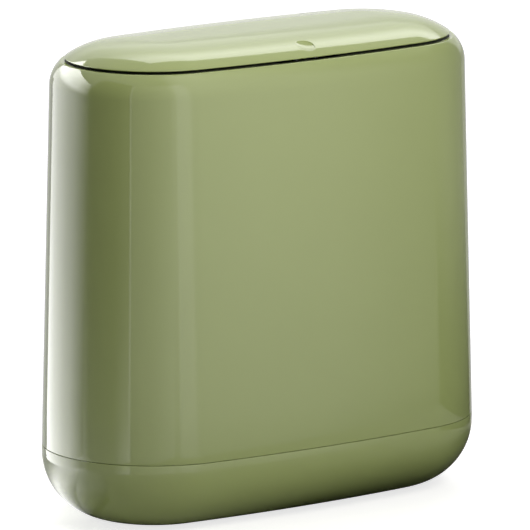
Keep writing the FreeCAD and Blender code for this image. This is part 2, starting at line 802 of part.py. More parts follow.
def make_hinge_spring(name, side):
    """Torsion spring round the hinge pin: one leg rests on the collar, the other lifts the lid."""
    wire, turns = number("coil_wire"), number("coil_turns")
    pitch = (number("coil_room - fit") - 2 * wire) / (turns + 0.5)
    spots, ways = coil(number("coil_radius"), pitch, -math.pi / 2, math.pi / 3 + 2 * math.pi * turns)
    print_gap(name, spots, wire)
    shape = wind(spots, ways, wire, number("collar_leg"), number("lid_leg"))
    if side < 0:
        shape = shape.mirror(Vector(), Z)
    base = Vector(side * (number("coil_start") + wire), number("hinge_y"), number("hinge_z"))
    solid_node(name, shape).Placement = FreeCAD.Placement(base, Rotation(Y, Z, X, "ZXY"))


def make_damper():
    """Barrel damper held between two ears, and the rotor that turns with the lid through a square key."""
    barrel = new_body("damper_barrel")
    shell = new_sketch(barrel, "YZ", "-damper_length/2")
    circle(shell, "hinge_y", "hinge_z", "damper_radius")
    pad(barrel, shell, "damper_length")
    stub = new_sketch(barrel, "YZ", "-damper_length/2")
    circle(stub, "hinge_y", "hinge_z", "pin_radius")
    pad(barrel, stub, "ear_width", back=True)
    bore(barrel, "-damper_length/2 + damper_floor", "damper_length", "pin_radius + pin_play")
    rotor = new_body("damper_rotor")
    shaft = new_sketch(rotor, "YZ", "-damper_length/2 + damper_floor + fit")
    circle(shaft, "hinge_y", "hinge_z", "pin_radius")
    pad(rotor, shaft, "damper_length - damper_floor + ear_width")
    key = new_sketch(rotor, "YZ", "damper_lug - 2*fit")
    square(key, "hinge_y", "hinge_z", "damper_key/2")
    pad(rotor, key, "damper_lug_width + 2*fit")


def make_latch_housing():
    """Open-topped box of the touch latch with a fixing tab on either side."""
    body = new_body("latch_housing")
    add_box(body, "-latch_width/2", "latch_width/2", "-latch_front", "-latch_back", "latch_bottom", "latch_top")
    tab = "(latch_width/2 + latch_tab)"
    add_box(body, f"-{tab}", tab, "tab_face - tab_thick", "tab_face", "latch_top - tab_drop - tab_height",
            "latch_top - tab_drop")
    cut_box(body, "-plunger_width/2 - slide_play", "plunger_width/2 + slide_play", "-latch_front + latch_wall",
            "-latch_back - latch_wall", "latch_bottom + latch_floor", "latch_top")
    holes = new_sketch(body, "XZ", "latch_back")
    for s in ("", "-"):
        circle(holes, s + "tab_x", "tab_z", "small_screw + pin_play")
    pocket(body, holes, "latch_depth")
    seat = new_sketch(body, "XZ", "latch_back")
    circle(seat, "0", "wire_foot", "cam_wire/2 + pin_play")
    pocket(body, seat, "latch_wall")


def make_latch_screws():
    """Two short screws through the tabs of the latch into the collar's wall."""
    screws = []
    for s in ("", "-"):
        shank = rod("small_screw", "tab_thick + collar_wall + fit", s + "tab_x", "tab_face", "tab_z", -Y)
        head = rod("small_head", "head_thick", s + "tab_x", "tab_face", "tab_z", Y)
        screws.append(fuse([shank, head], "latch_screw"))
    group("latch_screws", screws)


def make_latch_plunger():
    """Slide of the touch latch: a mouth for the striker, a spring bore below, a heart track on its back."""
    body = new_body("latch_plunger")
    add_box(body, "-plunger_width/2", "plunger_width/2", "-latch_y - plunger_depth/2",
            "-latch_y + plunger_depth/2", "plunger_bottom", "plunger_top")
    cut_box(body, "-mouth_width/2", "mouth_width/2", "-latch_y - mouth_depth/2", "-latch_y + mouth_depth/2",
            "mouth_floor", "plunger_top")
    spring_hole = new_sketch(body, "XY", "plunger_bottom")
    circle(spring_hole, "0", "-latch_y", "spring_bore")
    pocket(body, spring_hole, "spring_seat")
    track = new_sketch(body, "XZ", "latch_y - plunger_depth/2")
    rectangle(track, "-track_width/2", "track_width/2", "track_z", "track_z + track_height")
    heart = [("0", "heart_tip"), ("heart_half", "heart_side"), ("lobe_x", "lobe_top"), ("0", "heart_notch"),
             ("-lobe_x", "lobe_top"), ("-heart_half", "heart_side")]
    outline(track, [(x, "track_z + " + z) for x, z in heart])
    pocket(body, track, "track_depth")


def make_latch_claws():
    """Springy pair of jaws on one foot; their hooks close over the barbs of the striker."""
    body = new_body("latch_claws")
    out, into = "(mouth_width/2 - slip)", "(mouth_width/2 - slip - claw_wall)"
    hook = "striker_stem/2 + claw_gap"
    under = "striker_barb + fit"
    right = [
        (out, "mouth_floor"),
        (out, under + " + hook_height"),
        (into, under + " + hook_height"),
        (hook, under + " + hook_lip"),
        (hook, under),
        (into, under),
        (into, "mouth_floor + claw_wall"),
    ]
    left = [("-(" + x + ")", z) for x, z in reversed(right)]
    sketch = new_sketch(body, "XZ", "latch_y - mouth_depth/2 + slide_play")
    outline(sketch, right + left)
    pad(body, sketch, "mouth_depth - 2*slide_play")


def make_latch_spring():
    """Compression spring between the floor of the latch box and the bore of the slide."""
    wire, turns = number("latch_coil_wire"), number("latch_coil_turns")
    floor = number("latch_bottom + latch_floor")
    pitch = (number("spring_top") - floor - 2 * wire) / turns
    spots, ways = coil(number("latch_coil_radius"), pitch, 0, 2 * math.pi * turns)
    print_gap("latch_spring", spots, wire)
    node = solid_node("latch_spring", wind(spots, ways, wire, wire, wire))
    node.Placement = FreeCAD.Placement(Vector(0, -number("latch_y"), floor + wire), Rotation())


def make_latch_wire():
    """Bent wire: its foot turns in the wall of the box and its tip follows the heart-shaped track."""
    parts = [
        rod("cam_wire/2", "-latch_back - wire_y", "0", "wire_y", "wire_foot", Y),
        rod("cam_wire/2", "wire_tip - wire_foot", "0", "wire_y", "wire_foot"),
        rod("cam_wire/2", "cam_wire/2 + wire_room + track_depth - slip", "0", "wire_y", "wire_tip", -Y),
    ]
    for z in ("wire_foot", "wire_tip"):
        bend = doc.addObject("Part::Sphere", "bend")
        bend.setExpression("Radius", bound("cam_wire/2"))
        place(bend, "0", "wire_y", z)
        parts.append(bend)
    nodes.append(fuse(parts, "latch_wire"))


make_body_shell()
make_base_bowl()
make_feet()
make_collar()
make_collar_screws()
make_bag_ring()
make_lid_cover()
make_lid_liner()
make_lid_screws()
make_lid_seal()
make_striker()
make_striker_screws()
make_hinge_pins()
make_hinge_spring("spring_right", 1)
make_hinge_spring("spring_left", -1)
make_damper()
make_latch_housing()
make_latch_screws()
make_latch_plunger()
make_latch_claws()
make_latch_spring()
make_latch_wire()
doc.recompute()

for item in doc.Objects:
    if {"Invalid", "Error"} & set(item.State):
        raise ValueError(f"{item.Name}: {item.getStatusString()}")
os.makedirs("parts", exist_ok=True)
for node in nodes:
    if node.Shape.isNull() or not node.Shape.isValid():
        raise ValueError(f"{node.Label} has no valid shape")
    node.Shape.exportStep(f"parts/{node.Label}.step")
    print(node.Label, len(node.Shape.Solids), "solid(s)", round(node.Shape.Volume / 1000, 2), "cm3")
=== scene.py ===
import math

import bmesh
import bpy
import numpy as np
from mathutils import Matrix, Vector


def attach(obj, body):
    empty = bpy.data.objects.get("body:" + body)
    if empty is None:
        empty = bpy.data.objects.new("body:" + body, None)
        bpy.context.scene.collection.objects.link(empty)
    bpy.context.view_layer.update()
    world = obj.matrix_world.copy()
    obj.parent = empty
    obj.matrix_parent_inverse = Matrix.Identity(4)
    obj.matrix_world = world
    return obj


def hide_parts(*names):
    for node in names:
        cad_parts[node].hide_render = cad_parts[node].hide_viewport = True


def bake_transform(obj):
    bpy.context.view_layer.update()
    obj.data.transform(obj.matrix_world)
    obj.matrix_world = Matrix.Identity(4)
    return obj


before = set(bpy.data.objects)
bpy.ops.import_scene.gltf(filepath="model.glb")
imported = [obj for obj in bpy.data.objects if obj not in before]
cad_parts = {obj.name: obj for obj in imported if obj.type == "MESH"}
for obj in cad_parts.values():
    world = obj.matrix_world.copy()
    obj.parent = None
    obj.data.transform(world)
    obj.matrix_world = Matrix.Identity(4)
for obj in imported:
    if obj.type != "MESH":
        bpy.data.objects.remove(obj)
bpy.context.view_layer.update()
scene = bpy.context.scene

# Base bowl: the rolled-under lower end of the bin, injection moulded in the same high-gloss green plastic as
# the body. Its thin upper lip slides up inside the body and is welded there, which leaves the fine seam.
# Lengths are in millimetres, insets count inwards from the widest outline and heights from the floor.
MM = 0.001
LENGTH, DEPTH = 310, 152
SIDE_RADIUS = 935
END_RADIUS = (LENGTH**2 / 4 + DEPTH**2 / 4 - SIDE_RADIUS * DEPTH) / (LENGTH - 2 * SIDE_RADIUS)
REACH = LENGTH / 2 - END_RADIUS
END_TURN = math.atan2(SIDE_RADIUS - DEPTH / 2, REACH)
END_STEPS, SIDE_STEPS = 128, 64
WALL = 2.4
SEAM, SEAM_SLIT, SEAM_EDGE = 48, 0.35, 0.25
LAP_IN, LAP_TOP = 1.3, 57
BOWL_RADIUS, FOOT_LIFT = 42.4, 1
CREASE_ANGLE, MERGE_GAP = 35, 0.001


def linear(colour):
    """sRGB hex colour as linear red, green, blue and full alpha."""
    value = np.array([int(colour[n:n + 2], 16) for n in (1, 3, 5)]) / 255
    value = np.where(value < 0.04045, value / 12.92, ((value + 0.055) / 1.055) ** 2.4)
    return (*value, 1)


def add(tree, kind, inputs, **settings):
    """New shader node: settings are its own properties, inputs are sockets to link or values to set."""
    node = tree.nodes.new(kind)
    for name, value in settings.items():
        setattr(node, name, value)
    for name, value in inputs.items():
        if isinstance(value, bpy.types.NodeSocket):
            tree.links.new(value, node.inputs[name])
        else:
            node.inputs[name].default_value = value
    return node


def finish(name, colour, deep, drift, polish, grain, depth, **sockets):
    """Material that drifts between two close colours over drift mm, is polished between two roughnesses in
    patches a quarter as wide, and has bumps of grain mm across and depth mm high; other sockets keep one
    value all over."""
    material = bpy.data.materials.new(name)
    material.use_nodes = True
    tree = material.node_tree
    shader = tree.nodes["Principled BSDF"]
    place = add(tree, "ShaderNodeTexCoord", {}).outputs["Object"]
    cloud = add(tree, "ShaderNodeTexNoise", {"Vector": place, "Scale": 1 / (drift * MM), "Detail": 3})
    tint = add(tree, "ShaderNodeMix", {0: cloud.outputs["Fac"], 6: linear(colour), 7: linear(deep)},
               data_type="RGBA")
    wear = add(tree, "ShaderNodeTexNoise", {"Vector": place, "Scale": 4 / (drift * MM), "Detail": 5})
    # Such noise seldom leaves the range from 0.3 to 0.7.
    rough = add(tree, "ShaderNodeMapRange", {"Value": wear.outputs["Fac"], "From Min": 0.3, "From Max": 0.7,
                                             "To Min": polish[0], "To Max": polish[1]})
    bumps = add(tree, "ShaderNodeTexNoise", {"Vector": place, "Scale": 1 / (grain * MM), "Detail": 2})
    skin = add(tree, "ShaderNodeBump",
               {"Height": bumps.outputs["Fac"], "Strength": 1, "Distance": depth * MM})
    tree.links.new(tint.outputs[2], shader.inputs["Base Color"])
    tree.links.new(rough.outputs["Result"], shader.inputs["Roughness"])
    tree.links.new(skin.outputs["Normal"], shader.inputs["Normal"])
    for socket, value in sockets.items():
        shader.inputs[socket.replace("_", " ")].default_value = value
    return material


def oval(front=np.linspace(0, 1, SIDE_STEPS + 1)):
    """Points and outward normals once round the bin seen from above: right end, back, left end and front,
    each an arc about its own centre, cut at even shares of its angle or, in front, at the given ones."""
    end = np.linspace(0, 1, END_STEPS + 1)
    back = np.linspace(0, 1, SIDE_STEPS + 1)
    arcs = [((REACH, 0), END_RADIUS, -END_TURN, END_TURN, end),
            ((0, DEPTH / 2 - SIDE_RADIUS), SIDE_RADIUS, END_TURN, math.pi - END_TURN, back),
            ((-REACH, 0), END_RADIUS, math.pi - END_TURN, math.pi + END_TURN, end),
            ((0, SIDE_RADIUS - DEPTH / 2), SIDE_RADIUS, math.pi + END_TURN, 2 * math.pi - END_TURN, front)]
    points, normals = [], []
    for centre, radius, start, stop, shares in arcs:
        angle = start + (stop - start) * shares[:-1]
        normals.append(np.stack([np.cos(angle), np.sin(angle)], 1))
        points.append(np.array(centre) + radius * normals[-1])
    return np.concatenate(points), np.concatenate(normals)


def arc(inset, height, radius, start, stop, steps):
    """Section points on a circle about (inset, height), from one angle to another: 0 degrees points outwards
    and 90 upwards."""
    angle = np.radians(np.linspace(start, stop, steps + 1))
    return np.stack([inset - radius * np.cos(angle), height + radius * np.sin(angle)], 1)


def carry(section, path):
    """Carries a section round the oval: a section point (inset, height) lands inset millimetres inside each
    point of the oval, along the normal there."""
    points, normals = path
    inset, height = np.asarray(section, float).T
    plan = points[:, None] - inset[None, :, None] * normals[:, None]
    return np.dstack([plan, np.broadcast_to(height, plan.shape[:2])])


def quads(columns, rows, closed_rows=False):
    """Four-sided faces of a grid of columns x rows whose columns close into a ring, and rows too if asked."""
    column, row = np.meshgrid(np.arange(columns), np.arange(rows if closed_rows else rows - 1), indexing="ij")
    after, above = (column + 1) % columns, (row + 1) % rows
    return np.stack([column * rows + row, after * rows + row, after * rows + above, column * rows + above], 2)


def caps(columns, rows):
    """Two flat faces that close such a grid: one over its first row, turned the other way, and one over its
    last row."""
    first = np.arange(columns) * rows
    return [first[::-1].tolist(), (first + rows - 1).tolist()]


def new_piece(name, vertices, faces, material):
    """Smooth-shaded mesh object from vertices in millimetres, with creases where faces turn by more than
    CREASE_ANGLE degrees."""
    mesh = bpy.data.meshes.new(name)
    mesh.from_pydata((vertices.reshape(-1, 3) * MM).tolist(), [], faces)
    shape = bmesh.new()
    shape.from_mesh(mesh)
    bmesh.ops.remove_doubles(shape, verts=shape.verts, dist=MERGE_GAP * MM)
    shape.to_mesh(mesh)
    shape.free()
    mesh.shade_smooth()
    mesh.set_sharp_from_angle(angle=math.radians(CREASE_ANGLE))
    mesh.materials.append(material)
    piece = bpy.data.objects.new(name, mesh)
    scene.collection.objects.link(piece)
    return piece


# High-gloss ABS gives a clear, mirror-like skin over an even sage green, with waves about 40 mm long that are
# too shallow to feel.
sage_gloss = finish("gloss_abs", "#A7B572", "#A3B16E", drift=60, polish=(0.045, 0.075), grain=38, depth=0.02,
                    IOR=1.52)
BOWL_MIDDLE = (BOWL_RADIUS, FOOT_LIFT + BOWL_RADIUS)
bowl_section = np.concatenate([
    arc(*BOWL_MIDDLE, BOWL_RADIUS, -90, 0, steps=40),
    arc(SEAM_EDGE, SEAM - SEAM_SLIT - SEAM_EDGE, SEAM_EDGE, 0, 90, steps=5),
    [(LAP_IN, SEAM - SEAM_SLIT), (LAP_IN, LAP_TOP), (WALL, LAP_TOP)],
    arc(*BOWL_MIDDLE, BOWL_RADIUS - WALL, 0, -90, steps=24)])
ring = oval()
columns, rows = len(ring[0]), len(bowl_section)
bowl_faces = quads(columns, rows).reshape(-1, 4).tolist() + caps(columns, rows)
base_bowl = new_piece("bowl", carry(bowl_section, ring), bowl_faces, sage_gloss)
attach(base_bowl, "bin")
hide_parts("base_bowl")

# Feet: four round pads of soft rubber, pressed into pockets under the bowl so that the bin stays put and the
# gloss never touches the floor.


def dress(material, *nodes):
    """Gives CAD nodes that stay in view a finished material."""
    for node in nodes:
        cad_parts[node].material_slots[0].material = material


# Moulded rubber is charcoal, dull, and finely pitted, with a paler bloom.
soft_rubber = finish("soft_rubber", "#34362F", "#3F4139", drift=7, polish=(0.62, 0.8), grain=0.5, depth=0.06,
                     IOR=1.5)
dress(soft_rubber, "feet")

# Body: tall sleeve moulded in one piece, leaning in a little to the top, rounded over into a shoulder and
# ending in a narrow rim. A ledge inside the rim carries the collar; behind, the rim is notched for the hinge.
WALL_TOP, DRAFT, WALL_STEPS = 280, 5.8, 8
SHOULDER_RADIUS = 22
RIM, RIM_EDGE, RIM_INNER_EDGE = 295.6, 0.9, 0.5
RIM_IN, LEDGE_IN, LEDGE_TOP, LEDGE_UNDER = 15.95, 20.95, 292.4, 289.8
LAP_PLAY, LAP_ROOM = 0.1, 0.3
NOTCH_HALF, NOTCH_FRONT, NOTCH_BACK = 46.4, 49, 64.8
NOTCH_FLOOR, NOTCH_OPEN = 288.3, 320
LEAN = math.atan(DRAFT / (WALL_TOP - SEAM))
SHOULDER_IN = DRAFT + SHOULDER_RADIUS * math.cos(LEAN)
SHOULDER_Z = WALL_TOP - SHOULDER_RADIUS * math.sin(LEAN)


def inside_touch(centre_in, centre_z, radius, small, height):
    """Centre inset and angle of a small circle that touches a larger one from within, at a given height of
    its centre: the two centres lie apart by the difference of the radii."""
    rise = (height - centre_z) / (radius - small)
    return centre_in - (radius - small) * math.sqrt(1 - rise**2), math.degrees(math.asin(rise))


rim_edge_in, rim_edge_angle = inside_touch(SHOULDER_IN, SHOULDER_Z, SHOULDER_RADIUS, RIM_EDGE, RIM - RIM_EDGE)
inner_radius = SHOULDER_RADIUS - WALL
inner_top = math.degrees(math.asin((LEDGE_UNDER - SHOULDER_Z) / inner_radius))
body_section = np.concatenate([
    arc(SEAM_EDGE, SEAM + SEAM_EDGE, SEAM_EDGE, -90, 0, steps=5),
    np.linspace((0, SEAM), (DRAFT, WALL_TOP), WALL_STEPS + 1)[1:-1],
    arc(SHOULDER_IN, SHOULDER_Z, SHOULDER_RADIUS, math.degrees(LEAN), rim_edge_angle, steps=36),
    arc(rim_edge_in, RIM - RIM_EDGE, RIM_EDGE, rim_edge_angle, 90, steps=6)[1:],
    arc(RIM_IN - RIM_INNER_EDGE, RIM - RIM_INNER_EDGE, RIM_INNER_EDGE, 90, 180, steps=5),
    [(RIM_IN, LEDGE_TOP), (LEDGE_IN, LEDGE_TOP), (LEDGE_IN, LEDGE_UNDER)],
    arc(SHOULDER_IN, SHOULDER_Z, inner_radius, inner_top, math.degrees(LEAN), steps=16),
    [(WALL, LAP_TOP + LAP_ROOM), (LAP_IN - LAP_PLAY, LAP_TOP + LAP_ROOM), (LAP_IN - LAP_PLAY, SEAM)]])
body_faces = quads(columns, len(body_section), closed_rows=True).reshape(-1, 4).tolist()
body = new_piece("body", carry(body_section, ring), body_faces, sage_gloss)
corners = np.meshgrid([-NOTCH_HALF, NOTCH_HALF], [NOTCH_FRONT, NOTCH_BACK], [NOTCH_FLOOR, NOTCH_OPEN],
                      indexing="ij")
notch_faces = [[0, 1, 3, 2], [4, 6, 7, 5], [0, 4, 5, 1], [2, 3, 7, 6], [0, 2, 6, 4], [1, 5, 7, 3]]
notch = new_piece("notch", np.array(corners).reshape(3, -1).T, notch_faces, sage_gloss)
cut = body.modifiers.new("notch", "BOOLEAN")
cut.object = notch
cut.operation = "DIFFERENCE"
cut.solver = "EXACT"
cut_body = bpy.data.meshes.new_from_object(body.evaluated_get(bpy.context.evaluated_depsgraph_get()))
body.modifiers.clear()
body.data = cut_body
cut_body.set_sharp_from_angle(angle=math.radians(CREASE_ANGLE))
bpy.data.objects.remove(notch)
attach(body, "bin")
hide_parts("body_shell")

# Collar and bag ring: frame in spark-textured polypropylene that drops into the mouth and is screwed to the
# ledge, and a loose ring of the same plastic that lies in it and pinches the rim of the bag.
# Polypropylene from a textured mould is a dark olive grey, even and dull, with a grain as fine as skin.
textured_pp = finish("textured_pp", "#5B5F50", "#545849", drift=25, polish=(0.48, 0.62), grain=0.45,
                     depth=0.05, IOR=1.49)
dress(textured_pp, "collar", "bag_ring")

# Collar screws: countersunk, driven down through the collar into the ledge of the body. They are zinc-plated
# steel, as are the other screws, the hinge pins and the bent wire of the latch.
# Zinc plating is a cool bright grey, clouded where the bath dried, with a satin sheen.
zinc_steel = finish("zinc_steel", "#C3C6C8", "#A6AAAD", drift=4, polish=(0.2, 0.36), grain=0.25, depth=0.008,
                    Metallic=1)
dress(zinc_steel, "collar_screws")

# Touch latch: a housing screwed into the front of the collar, with a slide whose heart-shaped track is read
# by a bent wire. Pressing the lid sinks the slide; the next press lets its two claws rise and open.
dress(textured_pp, "latch_housing")
# Natural acetal is a milky white that is slick and a little shiny, as gears and clips are.
natural_acetal = finish("natural_acetal", "#E6E3D8", "#DDD9CC", drift=12, polish=(0.28, 0.4), grain=1.2,
                        depth=0.015, IOR=1.48)
dress(natural_acetal, "latch_plunger", "latch_claws")
dress(zinc_steel, "latch_screws", "latch_wire")

# Latch spring: a compression spring wound from drawn steel wire. It stands on the floor of the housing and
# reaches up to the seat of the slide.
LATCH_Y, LATCH_FLOOR, SLIDE_SEAT = -50, 256, 266.6
LATCH_RADIUS, LATCH_WIRE, LATCH_TURNS = 1.9, 0.5, 7
TURN_STEPS, LEG_STEPS, WIRE_SIDES = 32, 6, 12
# Drawn spring wire is darker than the plated screws and shines along its length.
spring_steel = finish("spring_steel", "#A9ABAC", "#8C8E8F", drift=2, polish=(0.22, 0.34), grain=0.15,
                      depth=0.004, Metallic=1)


def coil(turns, first, pitch, radius, legs):
    """Path of a coil that climbs along +Z by pitch a turn from an angle in degrees, with a straight leg of
    given length at either end that runs on in the direction of the wire, and the outward direction at each
    point."""
    angle = math.radians(first) + 2 * math.pi * np.linspace(0, turns, round(TURN_STEPS * turns) + 1)
    outward = np.stack([np.cos(angle), np.sin(angle), 0 * angle], 1)
    climb = pitch / (2 * math.pi)
    path = radius * outward + np.outer(climb * (angle - angle[0]), (0, 0, 1))
    way = np.stack([-radius * np.sin(angle), radius * np.cos(angle), climb + 0 * angle], 1)
    way /= math.hypot(radius, climb)
    share = np.linspace(0, 1, LEG_STEPS + 1)[:-1, None]
    first_leg = path[0] - (1 - share) * legs[0] * way[0]
    last_leg = path[-1] + (1 - share[::-1]) * legs[1] * way[-1]
    first_out, last_out = outward[:1].repeat(LEG_STEPS, 0), outward[-1:].repeat(LEG_STEPS, 0)
    return np.concatenate([first_leg, path, last_leg]), np.concatenate([first_out, outward, last_out])


def wound(name, path, outward, thick):
    """Round wire along a path: a circle of points about each path point, square to the way the wire runs
    there."""
    way = np.gradient(path, axis=0)
    across = np.cross(way, outward)
    across /= np.linalg.norm(across, axis=1, keepdims=True)
    raised = np.cross(across, way)
    raised /= np.linalg.norm(raised, axis=1, keepdims=True)
    angle = 2 * math.pi * np.arange(WIRE_SIDES) / WIRE_SIDES
    around = np.cos(angle)[:, None] * raised[:, None] + np.sin(angle)[:, None] * across[:, None]
    skin = path[:, None] + thick / 2 * around
    faces = quads(WIRE_SIDES, len(path)).reshape(-1, 4).tolist() + caps(WIRE_SIDES, len(path))
    return new_piece(name, skin.transpose(1, 0, 2), faces, spring_steel)


latch_pitch = (SLIDE_SEAT - LATCH_FLOOR - 2 * LATCH_WIRE) / LATCH_TURNS
latch_path, latch_out = coil(LATCH_TURNS, 0, latch_pitch, LATCH_RADIUS, legs=(LATCH_WIRE, LATCH_WIRE))
latch_coil = wound("latch_coil", latch_path + (0, LATCH_Y, LATCH_FLOOR + LATCH_WIRE), latch_out, LATCH_WIRE)
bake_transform(latch_coil)
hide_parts("latch_spring")

# Hinge: two steel pins through the ears of the collar and the lugs of the lid, a torsion spring wound round
# each, and a small barrel damper between them that lets the lid rise slowly.
HINGE_Y, HINGE_Z = 61, 291.8
COIL_START, COIL_ROOM, COIL_PLAY = 32.8, 10.6, 0.3
COIL_RADIUS, COIL_WIRE = 1.95, 0.55
FULL_TURNS, LAST_TURN, SPARE_TURN = 8, 5 / 12, 0.5
BIN_LEG, LID_LEG = 7.5, 6.4
dress(zinc_steel, "hinge_pins")
coil_turns = FULL_TURNS + LAST_TURN
coil_pitch = (COIL_ROOM - COIL_PLAY - 2 * COIL_WIRE) / (FULL_TURNS + SPARE_TURN)
coil_path, coil_out = coil(coil_turns, -90, coil_pitch, COIL_RADIUS, legs=(BIN_LEG, LID_LEG))
for name, hand in (("right", 1), ("left", -1)):
    # Local X, Y and Z of the coil lie along Y, Z and X of the bin; the left one is the mirror image of the
    # right one.
    turned = np.stack([hand * (coil_path[:, 2] + COIL_START + COIL_WIRE),
                       coil_path[:, 0] + HINGE_Y, coil_path[:, 1] + HINGE_Z], 1)
    outward = np.stack([hand * coil_out[:, 2], coil_out[:, 0], coil_out[:, 1]], 1)
    spring = wound("hinge_coil_" + name, turned, outward, COIL_WIRE)
    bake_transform(spring)
    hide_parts("spring_" + name)
dress(textured_pp, "damper_barrel")
dress(natural_acetal, "damper_rotor")

# Lid: domed cover in the same gloss plastic. Two arcs run on from the line of the shoulder to a narrow flat
# top, and a round dish for the thumb is sunk in the brow above the latch. The dish is set into a square patch
# that is left out of the lid's grid.
LID_EDGE, LIP = 297.2, 0.4
BROW_RADIUS, CROWN_ANGLE, CROWN_FLAT = 55.6, 8.25, 6.9
DISH_IN, DISH_RADIUS, DISH_DEPTH, DISH_EDGE = 26, 6.1, 1.3, 0.5
DISH_ROUND, DISH_ROUND_MIDDLE, DISH_HUB = 0.15, 0.04, 0.4
PATCH_HALF, PATCH_STEPS = 9, 24
BELOW_STEPS, ABOVE_STEPS, CROWN_STEPS, BESIDE_STEPS = 6, 8, 20, 30
SKIRT_STEPS, HOLLOW_STEPS = 7, 11
EDGE_ANGLE = math.asin((LID_EDGE - SHOULDER_Z) / SHOULDER_RADIUS)
CROWN_TURN = math.radians(90 - CROWN_ANGLE)
BROW_IN = SHOULDER_IN + (BROW_RADIUS - SHOULDER_RADIUS) * math.cos(EDGE_ANGLE)
BROW_Z = SHOULDER_Z - (BROW_RADIUS - SHOULDER_RADIUS) * math.sin(EDGE_ANGLE)
CROWN_IN = END_RADIUS - CROWN_FLAT
CROWN_RADIUS = (CROWN_IN - BROW_IN + BROW_RADIUS * math.cos(CROWN_TURN)) / math.cos(CROWN_TURN)
CROWN_Z = BROW_Z + (BROW_RADIUS - CROWN_RADIUS) * math.sin(CROWN_TURN)
brow_length = BROW_RADIUS * (CROWN_TURN - EDGE_ANGLE)
crown_length = CROWN_RADIUS * (math.pi / 2 - CROWN_TURN)
dish_tilt = math.asin((BROW_IN - DISH_IN) / BROW_RADIUS)
dish_run = BROW_RADIUS * (math.pi / 2 - dish_tilt - EDGE_ANGLE)


def dome(run):
    """Inset and height on the lid's outer line, a given length of that line up from its edge: the brow's arc,
    then the crown's, which has the same tangent where they meet."""
    on_brow = run < brow_length
    angle = np.where(on_brow, EDGE_ANGLE + run / BROW_RADIUS, CROWN_TURN + (run - brow_length) / CROWN_RADIUS)
    radius = np.where(on_brow, BROW_RADIUS, CROWN_RADIUS)
    inset = np.where(on_brow, BROW_IN, CROWN_IN) - radius * np.cos(angle)
    return inset, np.where(on_brow, BROW_Z, CROWN_Z) + radius * np.sin(angle)


def on_lid(swing, run):
    """Point on the front of the lid: swing is the angle about the centre of the long front arc, and run the
    length up the outer line."""
    inset, height = dome(run)
    reach = SIDE_RADIUS - inset
    return np.stack([reach * np.sin(swing), SIDE_RADIUS - DEPTH / 2 - reach * np.cos(swing), height], -1)


lip_in, lip_angle = inside_touch(BROW_IN, BROW_Z, BROW_RADIUS, LIP, LID_EDGE + LIP)
first_run = BROW_RADIUS * (math.radians(lip_angle) - EDGE_ANGLE)
runs = np.concatenate([
    np.linspace(first_run, dish_run - PATCH_HALF, BELOW_STEPS + 1)[:-1],
    np.linspace(dish_run - PATCH_HALF, dish_run + PATCH_HALF, PATCH_STEPS + 1),
    np.linspace(dish_run + PATCH_HALF, brow_length, ABOVE_STEPS + 1)[1:],
    brow_length + np.linspace(0, crown_length, CROWN_STEPS + 1)[1:]])
inner_edge = math.degrees(math.asin((LID_EDGE - BROW_Z) / (BROW_RADIUS - WALL)))
lid_section = np.concatenate([
    arc(CROWN_IN, CROWN_Z, CROWN_RADIUS - WALL, 90, 90 - CROWN_ANGLE, steps=8),
    arc(BROW_IN, BROW_Z, BROW_RADIUS - WALL, 90 - CROWN_ANGLE, inner_edge, steps=16)[1:],
    arc(lip_in, LID_EDGE + LIP, LIP, -90, lip_angle, steps=8)[:-1],
    np.stack(dome(runs), 1)])
front_swing = math.pi / 2 - END_TURN
patch_swing = PATCH_HALF / SIDE_RADIUS
over_patch = np.linspace(-patch_swing, patch_swing, PATCH_STEPS + 1)
beside = np.linspace(patch_swing, front_swing, BESIDE_STEPS + 1)
front = np.concatenate([-beside[::-1], over_patch[1:-1], beside]) / (2 * front_swing) + 0.5
lid_ring = oval(front)
columns, rows = len(lid_ring[0]), len(lid_section)
grid = quads(columns, rows)
first_column = columns - len(front) + 1 + BESIDE_STEPS
first_row = rows - len(runs) + BELOW_STEPS
keep = np.ones(grid.shape[:2], bool)
keep[first_column:first_column + PATCH_STEPS, first_row:first_row + PATCH_STEPS] = False
lid_points = carry(lid_section, lid_ring).reshape(-1, 3)

# Rings of points lead from the square hole in the grid to the round edge of the dish and on to its middle.
side = np.linspace(-1, 1, PATCH_STEPS + 1)[:-1]
one = np.ones(PATCH_STEPS)
edges = ((side, -one), (one, side), (-side, one), (-one, -side))
square = np.concatenate([np.stack(edge, 1) for edge in edges])
about = np.arctan2(square[:, 1], square[:, 0])
dish_middle = on_lid(0, dish_run)
dish_across = np.array([1, 0, 0])
dish_up = np.array([0, math.cos(dish_tilt), math.sin(dish_tilt)])
dish_out = np.array([0, -math.sin(dish_tilt), math.cos(dish_tilt)])


def dish_ring(radius, depth):
    """Circle round the dish's axis, a given depth below the plane that touches the lid at its middle."""
    flat = radius * (np.cos(about)[:, None] * dish_across + np.sin(about)[:, None] * dish_up)
    return dish_middle + flat - np.broadcast_to(depth, about.shape)[:, None] * dish_out


